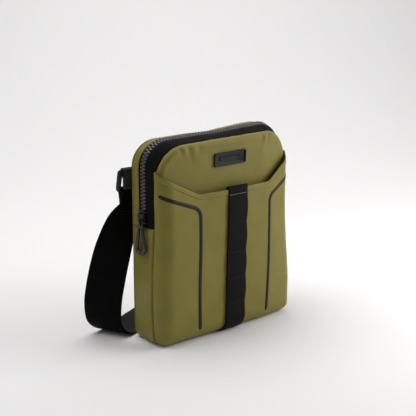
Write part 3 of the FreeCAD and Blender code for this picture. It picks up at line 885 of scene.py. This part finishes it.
def web_bulge(z):
    """How far the webbing stands off the cloth between its bartacks."""
    for a, b in zip(web_holds, web_holds[1:]):
        if a < z < b:
            t = (z - a) / (b - a)
            return WEB_LOOP * math.sin(math.pi * t) ** 1.3
    return 0.0


def web_lean(z):
    """The band was sewn on slightly crooked: its foot is to the left of its top."""
    return 1.6 * mm - 4.4 * mm * (1 - z / MOUTH_Z) + 0.4 * mm * math.sin(z * 42 + 1.0)


def webbing_place(u, w):
    s = w * (web_run + web_over + web_tail)
    across = (2 * u - 1) * WEB_HALF
    cut = (across, s)
    if s < web_run:
        z = web_foot + s
        bulge = web_bulge(z)
        across *= 0.965 + 0.035 * min(1.0, bulge / (1.0 * mm))
        across += web_lean(z)
        cup = 0.35 * mm * (1 - (2 * u - 1) ** 2)
        return pocket_point(across, z, WEB_LIFT + bulge + cup), cut
    past = s - web_run
    base = pocket_point(across + web_lean(web_top), web_top, WEB_LIFT)
    if past < web_over:
        a = past / web_fold
        return base + Vector((0, web_fold * (1 - math.cos(a)), web_fold * math.sin(a))), cut
    return base + Vector((0, 2 * web_fold, -(past - web_over))), cut


webbing = sheet_piece("centre_webbing_band", 12, 170, webbing_place, WEB_THICK, black_webbing,
                      0.0)
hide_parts("centre_webbing", "centre_webbing_top")
soft_edge = webbing.modifiers.new("edge", "BEVEL")
soft_edge.width = 0.35 * mm
soft_edge.segments = 2
soft_edge.limit_method = "ANGLE"
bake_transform(webbing)

TACK_HALF = 1.1 * mm
TACK_LIFT = 1.78 * mm
tack_rows = []
for z in bartack_z:
    for k in range(27):
        x = web_lean(z) + (k / 26 - 0.5) * 2 * (WEB_HALF - 1.2 * mm) * 0.965
        lean = 0.35 * mm * (1 if k % 2 else -1)
        low_end = on_pocket(x - lean, z - TACK_HALF, TACK_LIFT)
        high_end = on_pocket(x + lean, z + TACK_HALF, TACK_LIFT)
        tack_rows.append([low_end, high_end])
bartacks = stitch_rows("bartacks", tack_rows, 2.1 * mm, 0.2 * mm, 0.3 * mm, black_thread)
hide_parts("webbing_bartacks")
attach(bartacks, "bag")

top_row = []
for k in range(13):
    x = web_lean(web_top) + (k / 12 - 0.5) * 2 * (WEB_HALF - 0.8 * mm)
    top_row.append(on_pocket(x, 142.6 * mm, 2.0 * mm))
web_stitches = stitch_rows("webbing_top_stitches", [top_row], 2.3 * mm, 0.9 * mm, 0.27 * mm, olive_thread)
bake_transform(web_stitches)


# ---------------------------------------------------------------- badge
# A moulded soft-rubber badge, bonded to the front panel above the pocket.
# It has a rolled rim, a sunk field and a plain raised bar.
badge_rubber = surface("badge_rubber", speckle, {"Scale": 1100.0}, (0.010, 0.009, 0.0105),
                       (0.016, 0.015, 0.016), (0.30, 0.40), 0.2, 0.04 * mm, Specular_IOR_Level=0.24)
badge_low, badge_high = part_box("badge")
BADGE_SHIFT = -1.8 * mm
BADGE_RAISE = 3 * mm
BADGE_TILT = 0.02
RIM_PROFILE = ((0.3, -0.2), (0.0, 0.3), (0.0, 1.1), (0.15, 1.6), (0.5, 1.95), (1.0, 1.95), (1.4, 1.7),
               (1.6, 1.25), (1.8, 0.7), (2.3, 0.55))
BAR_PROFILE = ((0.0, 0.3), (0.0, 1.0), (0.2, 1.2))


def rounded_rectangle(bm, half_w, half_h, radius, height):
    """A closed ring of vertices at one height, counter-clockwise."""
    ring = []
    for quarter in range(4):
        cx = (half_w - radius) * (1 if quarter in (0, 3) else -1)
        cy = (half_h - radius) * (1 if quarter in (0, 1) else -1)
        for k in range(7):
            a = math.pi / 2 * (quarter + k / 6)
            ring.append(bm.verts.new((cx + radius * math.cos(a), cy + radius * math.sin(a), height)))
    return ring


def moulded_plate(bm, half_w, half_h, radius, profile):
    """A plate built up ring by ring: profile lists (inset, height) in millimetres."""
    rings = []
    for inset, height in profile:
        r = max(0.15 * mm, radius - inset * mm)
        rings.append(rounded_rectangle(bm, half_w - inset * mm, half_h - inset * mm, r, height * mm))
    count = len(rings[0])
    for a, b in zip(rings, rings[1:]):
        for q in range(count):
            bm.faces.new((a[q], a[(q + 1) % count], b[(q + 1) % count], b[q]))
    bm.faces.new(tuple(reversed(rings[0])))
    bm.faces.new(rings[-1])


bm = bmesh.new()
badge_w = (badge_high[0] - badge_low[0]) / 2
badge_h = (badge_high[2] - badge_low[2]) / 2
moulded_plate(bm, badge_w, badge_h, 2.4 * mm, RIM_PROFILE)
moulded_plate(bm, badge_w * 0.66, badge_h * 0.27, 0.9 * mm, BAR_PROFILE)
badge_middle = (badge_low[2] + badge_high[2]) / 2 + BADGE_RAISE
for v in bm.verts:
    tilt = BADGE_TILT * v.co.y
    v.co = panel_point(v.co.x + BADGE_SHIFT + tilt, badge_middle + v.co.y, v.co.z)
bmesh.ops.recalc_face_normals(bm, faces=bm.faces)
badge = new_piece("badge_plate", bm, badge_rubber)
badge.data.set_sharp_from_angle(angle=math.radians(40))
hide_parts("badge")
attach(badge, "mouth")


# ---------------------------------------------------------------- zip tapes and teeth
# A coarse moulded-tooth zip on black woven tape. It runs from low on the left side, over the top, to low on
# the right side, and rolls a little forward along the top.
tape_cloth = surface("tape_cloth", weave, {"Pitch": 0.9 * mm, "Slant": 0.4}, (0.0042, 0.0038, 0.0036),
                     (0.0068, 0.0062, 0.0058), (0.55, 0.7), 0.5, 0.12 * mm, Specular_IOR_Level=0.06)
tooth_metal = surface("tooth_metal", speckle, {"Scale": 1500.0}, (0.07, 0.066, 0.064), (0.105, 0.10, 0.098),
                      (0.3, 0.42), 0.1, 0.03 * mm, Metallic=0.55)
chain_y = (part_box("zip_teeth_back")[0][1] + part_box("zip_teeth_front_ends")[1][1]) / 2
CHAIN_INSET = 0.7 * mm
TAPE_INSET = 0.45 * mm
TAPE_TUCK = 1.5 * mm
TAPE_GAP = 1.2 * mm
CHAIN_CREST = 0.9 * mm
CHAIN_ROLL = math.radians(24)


def crest(s):
    """How far the chain rides up over the top of the bag, where it is bent the other way."""
    return CHAIN_CREST * max(0.0, rim(s)[3]) ** 2


def tape_place(u, w, y0, y1, seam_at_start):
    s = top_rim(u)
    y = y0 + w * (y1 - y0)
    from_seam = w if seam_at_start else 1 - w
    turn_in = TAPE_TUCK * (1 - ramp(from_seam * abs(y1 - y0), 0, 2.2 * mm))
    if seam_at_start:
        x, z, nx, nz = rim(s)
        panel_line = PANEL_INSET + PANEL_DROP * max(0.0, nz) ** 2 - edge(x, z, 0.0, PANEL_SHOULDER)[0]
        turn_in += (panel_line - 0.4 * mm) * (1 - ramp(w, 0.0, 0.75))
    ripple = 0.35 * mm * noise.noise(Vector((s * 55, y * 30, 6.0))) * math.sin(math.pi * w)
    rise = crest(s) * (w if seam_at_start else 1 - w)
    return on_rim(s, y, TAPE_INSET + turn_in + ripple - rise), ((2 * u - 1) * top_end, y)


front_tape = sheet_piece("front_tape", 200, 10,
                         lambda u, w: tape_place(u, w, front_seam_y + 0.3 * mm, chain_y - TAPE_GAP, True),
                         0.6 * mm, tape_cloth)
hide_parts("zip_tape_front", "zip_tape_front_ends")
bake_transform(front_tape)
back_tape = sheet_piece("back_tape", 200, 8,
                        lambda u, w: tape_place(u, w, chain_y + TAPE_GAP, tape_edge_y, False),
                        0.6 * mm, tape_cloth)
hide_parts("zip_tape_back")
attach(back_tape, "bag")


TOOTH_WIDE = 2.0 * mm
TOOTH_HIGH = 2.2 * mm
TOOTH_LONG = 4.5 * mm
TOOTH_OVERLAP = 0.6 * mm


def tooth_row(name, direction, offset, count):
    """Moulded teeth along the chain's path, each a bevelled block with a rounded head over the middle."""
    bm = bmesh.new()
    for k in range(count):
        travel = first_tooth + (k + offset) * tooth_pitch
        s = zip_end + travel
        s = -s if s < rim_half else 2 * rim_half - s
        inset = CHAIN_INSET - crest(s)
        here = on_rim(s, chain_y, inset)
        ahead = (on_rim(s + 0.5 * mm, chain_y, inset) - here).normalized()
        roll = CHAIN_ROLL * max(0.0, rim(s)[3]) ** 2
        level_out = Vector((0, 1, 0)).cross(ahead).normalized()
        out = level_out * math.cos(roll) - Vector((0, 1, 0)) * math.sin(roll)
        rearward = level_out * math.sin(roll) + Vector((0, 1, 0)) * math.cos(roll)
        made = bmesh.ops.create_cube(bm, size=1.0)["verts"]
        around = list({e for v in made for e in v.link_edges})
        bevelled = bmesh.ops.bevel(bm, geom=around, offset=0.2, segments=1, profile=0.5, affect="EDGES",
                                   material=-1)
        block = list({v for f in bevelled["faces"] for v in f.verts})
        for v in block:
            a, b, c = v.co
            reach = b + 0.5
            spread_out = 1 + 0.25 * (1 - reach)
            v.co = (here + ahead * a * TOOTH_WIDE * spread_out + out * (c * TOOTH_HIGH + 0.25 * mm)
                    + rearward * direction * (-TOOTH_OVERLAP + reach * TOOTH_LONG))
    bmesh.ops.recalc_face_normals(bm, faces=bm.faces)
    return new_piece(name, bm, tooth_metal, flat=True)


chain_length = 2 * (rim_half - zip_end)
first_tooth = 4.2 * mm
tooth_count = round((chain_length - 2 * first_tooth) / (3.6 * mm))
tooth_pitch = (chain_length - 2 * first_tooth) / tooth_count
back_teeth = tooth_row("back_teeth", 1, 0.5, tooth_count)
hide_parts("zip_teeth_back")
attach(back_teeth, "bag")
front_teeth = tooth_row("front_teeth", -1, 0.0, tooth_count + 1)
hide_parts("zip_teeth_front", "zip_teeth_front_ends")
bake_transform(front_teeth)


# ---------------------------------------------------------------- slider and pull
# Die-cast slider and end stops, a wire link through the slider's bridge, and a pull moulded in one piece:
# a teardrop loop with a block at its neck that closes round the link.
cast_black = surface("cast_black", speckle, {"Scale": 900.0}, (0.03, 0.028, 0.03), (0.045, 0.042, 0.045),
                     (0.25, 0.35), 0.1, 0.03 * mm, Metallic=0.7)
moulded_black = surface("moulded_black", speckle, {"Scale": 1300.0}, (0.030, 0.028, 0.031),
                        (0.042, 0.039, 0.043), (0.36, 0.46), 0.15, 0.03 * mm)


def finish_node(node, material):
    """A CAD piece keeps its mesh and gets its material."""
    piece = frame["nodes"][node]
    piece.data.materials.clear()
    piece.data.materials.append(material)


finish_node("zip_slider", cast_black)
finish_node("pull_link", cast_black)
finish_node("zip_stops", cast_black)

pull_joint = next(j for j in frame["record"]["behaviour"]["joints"] if j["name"] == "pull_swing")
pull_x, pull_y = pull_joint["pos_m"][:2]
pull_low, pull_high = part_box("zip_pull")
LOOP_RADIUS = 6.3 * mm
CORD_THIN = 1.5 * mm
CORD_THICK = 1.95 * mm
NECK_BLOCK = Vector((3.4, 8.6, 3.6)) * mm


def swept_loop(bm, centres, radii, sides=14):
    """A closed round bar through the centres, in the plane x = constant."""
    rings = []
    count = len(centres)
    for i, centre in enumerate(centres):
        ahead = (centres[(i + 1) % count] - centres[i - 1]).normalized()
        out = ahead.cross(Vector((1, 0, 0))).normalized()
        ring = []
        for q in range(sides):
            a = 2 * math.pi * q / sides
            offset = out * math.cos(a) + Vector((1, 0, 0)) * math.sin(a)
            ring.append(bm.verts.new(centre + offset * radii[i]))
        rings.append(ring)
    for i in range(count):
        a, b = rings[i], rings[(i + 1) % count]
        for q in range(sides):
            bm.faces.new((a[q], a[(q + 1) % sides], b[(q + 1) % sides], b[q]))


bm = bmesh.new()
loop_low = Vector((pull_x, pull_y, pull_low[2] + CORD_THICK + LOOP_RADIUS))
loop_top = pull_high[2] - 2.2 * mm
straight = loop_top - loop_low.z
half_top = 2.2 * mm
opening = math.atan2(straight, half_top) - math.acos(LOOP_RADIUS / math.hypot(half_top, straight))
centres = []
for k in range(25):
    a = opening - (math.pi + 2 * opening) * k / 24
    centres.append(loop_low + Vector((0, math.cos(a), math.sin(a))) * LOOP_RADIUS)
left_foot = centres[-1]
left_head = Vector((pull_x, pull_y - half_top, loop_top))
right_head = Vector((pull_x, pull_y + half_top, loop_top))
right_foot = centres[0]
centres += [left_foot.lerp(left_head, (k + 1) / 10) for k in range(10)]
centres += [right_head.lerp(right_foot, k / 10) for k in range(10)]
radii = [CORD_THICK + (CORD_THIN - CORD_THICK) * ramp(c.z, loop_low.z - 2 * mm, loop_top) for c in centres]
swept_loop(bm, centres, radii)
collar = bmesh.ops.create_cube(bm, size=1.0)["verts"]
for v in collar:
    v.co = Vector((pull_x, pull_y, pull_high[2] - NECK_BLOCK.z / 2)) + v.co * NECK_BLOCK
around = list({e for v in collar for e in v.link_edges})
bmesh.ops.bevel(bm, geom=around, offset=1.1 * mm, segments=4, profile=0.5, affect="EDGES", material=-1)
bmesh.ops.recalc_face_normals(bm, faces=bm.faces)
pull = new_piece("moulded_pull", bm, moulded_black)
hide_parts("zip_pull")
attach(pull, "pull")


# ---------------------------------------------------------------- tabs, rings and strap
# Two webbing tabs on the back hold oblong rings. The strap is 38 mm webbing, sewn round the left ring,
# lying on the ground behind the bag, and doubled back through a slide at the right ring.
STRAP_WIDTH = 38 * mm
STRAP_THICK = 1.6 * mm
strap_black = surface("strap_black", ribs, {"Pitch": 1.5 * mm, "Columns": 2.4 * mm},
                      (0.0030, 0.0026, 0.0024), (0.0046, 0.0041, 0.0038), (0.5, 0.62), 0.35, 0.2 * mm,
                      Specular_IOR_Level=0.04)
ring_black = surface("ring_black", speckle, {"Scale": 900.0}, (0.006, 0.0055, 0.0055),
                     (0.010, 0.009, 0.009), (0.42, 0.52), 0.1, 0.03 * mm, Specular_IOR_Level=0.2)
# Painted light: the tab webbing's grey colour is several times lighter than the black strap and webbing, and
# stands for the key light the tabs catch.
tab_webbing_painted_lit = surface("tab_webbing_painted_lit", ribs, {"Pitch": 1.2 * mm}, (0.022, 0.021, 0.022), (0.034, 0.032, 0.033),
                      (0.55, 0.65), 0.5, 0.25 * mm, Specular_IOR_Level=0.3)


def band_piece(name, stations, width, thick, material):
    """Flat webbing through stations of (middle, width direction), with its real thickness and soft edges."""
    spans = len(stations) - 1
    travelled = [0.0]
    for (a, _), (b, _) in zip(stations, stations[1:]):
        travelled.append(travelled[-1] + (b - a).length)

    def place(u, w):
        i = round(w * spans)
        middle_point, across = stations[i]
        return middle_point + across * (u - 0.5) * width, ((u - 0.5) * width, travelled[i])

    band = sheet_piece(name, 12, spans, place, thick, material, 0.0)
    edge_round = band.modifiers.new("edge", "BEVEL")
    edge_round.width = thick * 0.28
    edge_round.segments = 2
    edge_round.limit_method = "ANGLE"
    return band, travelled[-1]


strap_joint = next(j for j in frame["record"]["behaviour"]["joints"] if j["name"] == "strap_swing")
pivot_y, pivot_z = strap_joint["pos_m"][1:]
RING_X = (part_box("ring_right")[0][0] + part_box("ring_right")[1][0]) / 2
RING_WIRE = 1.6 * mm
RING_TILT = math.radians(12)
RING_REACH = 19.2 * mm
bar_y = pivot_y + RING_REACH * math.sin(RING_TILT)
bar_z = pivot_z - RING_REACH * math.cos(RING_TILT)
TAB_EXTRA = 0.8 * mm
TAB_WRAP = 2.7 * mm
TAB_THICK = 1.3 * mm
RING_TURN = 2.4 * mm
level = Vector((-1, 0, 0))


def cast_ring(name, side):
    """An oblong ring swept from an oval section: deep at the sides, round at the two bars."""
    half_w = 19.5 * mm + RING_WIRE
    down = Vector((0, math.sin(RING_TILT), -math.cos(RING_TILT)))
    out = Vector((0, math.cos(RING_TILT), math.sin(RING_TILT)))
    origin = Vector((side * RING_X, pivot_y, pivot_z))
    path = []
    for cx, cy, first in ((1, 0, 90), (1, 1, 0), (-1, 1, -90), (-1, 0, -180)):
        for k in range(7):
            a = math.radians(first - 15 * k)
            middle_x = cx * (half_w - RING_TURN)
            middle_y = RING_REACH - RING_TURN if cy else RING_TURN
            path.append((middle_x + RING_TURN * math.cos(a), middle_y - RING_TURN * math.sin(a), a))
    bm = bmesh.new()
    rings = []
    for x, y, a in path:
        side_share = abs(math.cos(a)) ** 2
        outward = level * -math.cos(a) - down * math.sin(a)
        centre = origin - level * x + down * y
        swell = 0.8 * mm * math.sin(2 * a) ** 2
        ring = []
        for q in range(12):
            b = q * math.pi / 6
            in_plane = (RING_WIRE + (swell if math.cos(b) > 0 else 0)) * math.cos(b)
            deep = (RING_WIRE + 2.0 * mm * side_share) * math.sin(b)
            ring.append(bm.verts.new(centre + outward * in_plane + out * deep))
        rings.append(ring)
    for i in range(len(rings)):
        a, b = rings[i], rings[(i + 1) % len(rings)]
        for q in range(12):
            bm.faces.new((a[q], a[(q + 1) % 12], b[(q + 1) % 12], b[q]))
    bmesh.ops.recalc_face_normals(bm, faces=bm.faces)
    ring_piece = new_piece(name, bm, ring_black)
    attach(ring_piece, "strap")
    return ring_piece


for side, name in ((-1, "left"), (1, "right")):
    ring_piece = cast_ring(f"cast_ring_{name}", side)
    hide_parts(f"ring_{name}")
    low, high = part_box(f"tab_{name}")
    ring_x = side * RING_X
    leg_y = back_y + 0.75 * mm
    rear_leg = leg_y + 1.45 * mm
    stations = [(Vector((ring_x, leg_y, low[2] + k * 3 * mm)), level) for k in range(4)]
    for k in range(15):
        a = math.radians(200 - 20 * k)
        loop = Vector((ring_x, pivot_y + TAB_WRAP * math.cos(a), pivot_z + TAB_WRAP * math.sin(a)))
        stations.append((loop, level))
    stations += [(Vector((ring_x, rear_leg, low[2] + (10 - k * 3.2) * mm)), level) for k in range(4)]
    tab_width = high[0] - low[0] + TAB_EXTRA
    tab = band_piece(f"tab_band_{name}", stations, tab_width, TAB_THICK, tab_webbing_painted_lit)[0]
    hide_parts(f"tab_{name}")
    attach(tab, "bag")
    rows = []
    for z in (low[2] + 4 * mm, low[2] + 7 * mm, low[2] + 10 * mm):
        rows.append([(Vector((ring_x + t * 16.5 * mm, rear_leg + 0.72 * mm, z)), Vector((0, 1, 0)))
                     for t in (-1, -0.5, 0, 0.5, 1)])
    edge_x = ring_x + level.x * tab_width / 2
    for z in (low[2] + 10 * mm, low[2] + 10.9 * mm):
        rows.append([(Vector((edge_x, leg_y + t * 3.4 * mm, z)), level) for t in (0, 0.5, 1)])
    stitched = stitch_rows(f"tab_thread_{name}", rows, 2.2 * mm, 0.7 * mm, 0.3 * mm, olive_thread)
    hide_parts(f"tab_stitches_{name}")
    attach(stitched, "bag")

# Where the strap's middle line passes, in mm, and the direction across its width.
strap_keys = [
    (-87.0, 37.5, 122.0, -0.99, 0.14, 0.00),
    (-97.5, 39.5, 100.0, -0.96, 0.27, 0.00),
    (-104.0, 41.5, 77.0, -0.88, 0.48, 0.00),
    (-109.0, 43.3, 54.0, -0.76, 0.65, 0.00),
    (-112.0, 44.5, 33.0, -0.64, 0.77, 0.00),
    (-111.0, 43.6, 14.0, -0.50, 0.87, 0.00),
    (-98.5, 44.5, 2.6, -0.42, 0.91, 0.00),
    (-78.0, 52.5, 0.8, -0.41, 0.91, 0.00),
    (-48.0, 66.5, 0.8, -0.41, 0.91, 0.00),
    (-14.0, 83.0, 0.8, -0.43, 0.90, 0.00),
    (22.0, 101.0, 0.8, -0.42, 0.91, 0.00),
    (54.0, 115.5, 1.8, -0.40, 0.92, 0.00),
    (78.0, 123.5, 11.0, -0.45, 0.89, 0.05),
    (90.0, 120.0, 30.0, -0.62, 0.75, 0.20),
    (88.5, 104.0, 50.0, -0.85, 0.45, 0.25),
    (81.0, 84.0, 66.0, -0.97, 0.15, 0.10),
]
STRAP_TAIL = 26 * mm
STRAP_DOUBLED = 78 * mm
RUN_TILT = math.radians(24)


def sewn_end(side, lean, tail, run, apart=0.95 * mm):
    """Webbing round a ring's bar: tail, loop and main layer."""
    down = Vector((0, math.sin(lean), -math.cos(lean)))
    rear = Vector((0, math.cos(lean), math.sin(lean)))
    centre = Vector((side * RING_X, bar_y, bar_z))
    r = RING_WIRE + 0.3 * mm + STRAP_THICK / 2
    flare = (5 * mm, apart + 0.9 * mm), (9 * mm, apart + 0.25 * mm), (14 * mm, apart)
    path = [(tail, -apart), (tail * 0.6, -apart)] + [(s, -h) for s, h in reversed(flare)]
    for k in range(13):
        t = math.radians(-15 + 210 * k / 12)
        path.append((-r * math.sin(t), -r * math.cos(t)))
    path += list(flare)
    steps = max(1, int((run - 14 * mm) / (12 * mm)))
    path += [(14 * mm + (run - 14 * mm) * k / steps, apart) for k in range(1, steps + 1)]
    return [centre + down * s + rear * h for s, h in path]


def strap_route():
    """Stations of the whole strap: the sewn end, a smooth curve through the keys, and the doubled end."""
    left = sewn_end(-1, 0.0, STRAP_TAIL, 14 * mm)
    right = sewn_end(1, RUN_TILT, STRAP_DOUBLED, STRAP_DOUBLED)[::-1]
    keys = [(*p, *level) for p in left[-2:]]
    keys += [(x * mm, y * mm, z * mm, a, b, c) for x, y, z, a, b, c in strap_keys]
    keys += [(*p, *level) for p in right[:2]]
    stations = [(p, level) for p in left[:-1]]
    for i in range(1, len(keys) - 2):
        p0, p1, p2, p3 = keys[i - 1:i + 3]
        for k in range(12):
            t = k / 12
            six = []
            for a, b, c, d in zip(p0, p1, p2, p3):
                bend = (2 * a - 5 * b + 4 * c - d) * t * t
                twist = (3 * b - a - 3 * c + d) * t ** 3
                six.append(0.5 * (2 * b + (c - a) * t + bend + twist))
            stations.append((Vector(six[:3]), Vector(six[3:]).normalized()))
    return stations + [(p, level) for p in right[1:]]


strap, strap_length = band_piece("strap_band", strap_route(), STRAP_WIDTH, STRAP_THICK, strap_black)
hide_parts("strap_webbing")
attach(strap, "strap")

rows = []
for s in (15 * mm, 18 * mm, 21 * mm, 24 * mm):
    y = bar_y - 0.95 * mm - STRAP_THICK / 2 - 0.05 * mm
    rows.append([(Vector((-RING_X + t * 17 * mm, y, bar_z - s)), Vector((0, -1, 0)))
                 for t in (-1, -0.5, 0, 0.5, 1)])
strap_thread = stitch_rows("strap_thread", rows, 2.4 * mm, 0.7 * mm, 0.3 * mm, black_thread)
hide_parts("strap_stitches")
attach(strap_thread, "strap")

slide_black = surface("slide_black", speckle, {"Scale": 900.0}, (0.014, 0.013, 0.013), (0.022, 0.02, 0.02),
                      (0.32, 0.42), 0.15, 0.03 * mm)
finish_node("strap_adjuster", slide_black)
